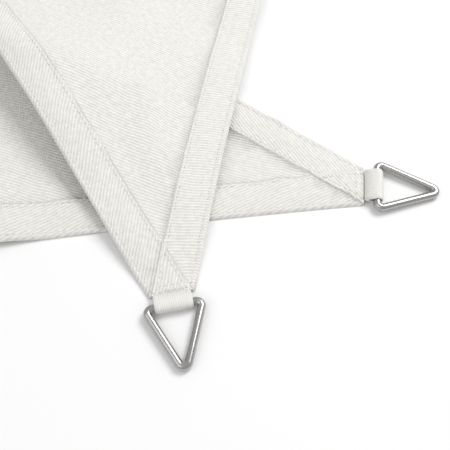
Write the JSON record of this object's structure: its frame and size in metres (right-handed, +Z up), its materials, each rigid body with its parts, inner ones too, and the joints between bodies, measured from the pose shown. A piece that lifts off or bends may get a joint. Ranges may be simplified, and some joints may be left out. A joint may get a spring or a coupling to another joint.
{
  "type": "shade sail",
  "caption": "Triangular hemmed shade sail, loosely folded, with webbing loops and triangular steel rings at its corners.",
  "frame": {"origin": "middle of the folded sail's base, on the surface it rests on", "axes": "+Z up from the surface; -Y towards the front corner, +X towards the side corner"},
  "size_m": [0.9558, 0.98, 0.0445],
  "materials": {
    "cloth": "knitted, matt",
    "webbing": "ribbed webbing",
    "steel": "polished stainless wire"
  },
  "bodies": {
    "root": {"sail": "cloth", "loop_front": "webbing", "loop_side": "webbing", "loop_back": "webbing", "ring_front": "steel", "ring_side": "steel", "ring_back": "steel"}
  },
  "joints": []
}
